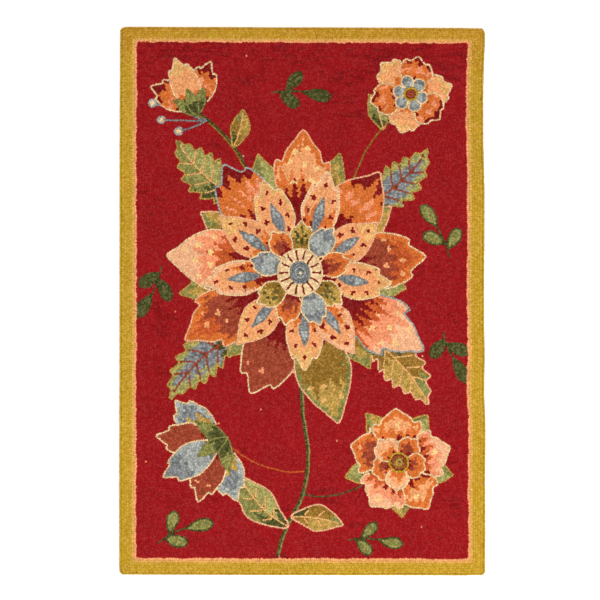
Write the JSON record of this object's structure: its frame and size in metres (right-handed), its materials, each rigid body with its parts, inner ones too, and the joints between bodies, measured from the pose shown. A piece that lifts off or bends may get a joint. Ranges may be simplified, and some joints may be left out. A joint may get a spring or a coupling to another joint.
{
  "type": "hooked rug",
  "caption": "Small flat hooked wool rug, flowers and leaves on a red field inside a peach line and a gold border, with a flat underside to lie on a floor.",
  "frame": {"origin": "middle of the underside, by the bounding box", "axes": "+X across the rug's width, +Y along its length, towards the top of the design, +Z out of the pile"},
  "size_m": [0.5098, 0.7632, 0.0095],
  "materials": {
    "red_wool": "looped wool pile, matt, deep red mottled with maroon",
    "gold_wool": "looped wool pile, matt, old gold, of the border",
    "cream_wool": "looped wool pile, matt, warm peach to cream, of the line inside the border and of the outlines",
    "bloom_wool": "looped wool pile, matt, salmon, peach, orange, rust and gold, of the flowers",
    "leaf_wool": "looped wool pile, matt, olive, mid and dark green, of the leaves and stems",
    "blue_wool": "looped wool pile, matt, slate and blue grey, of the flowers' shaded parts",
    "foundation": "plain woven natural foundation cloth, with the backs of the loops"
  },
  "bodies": {
    "root": {"rug": "red_wool"}
  },
  "joints": []
}
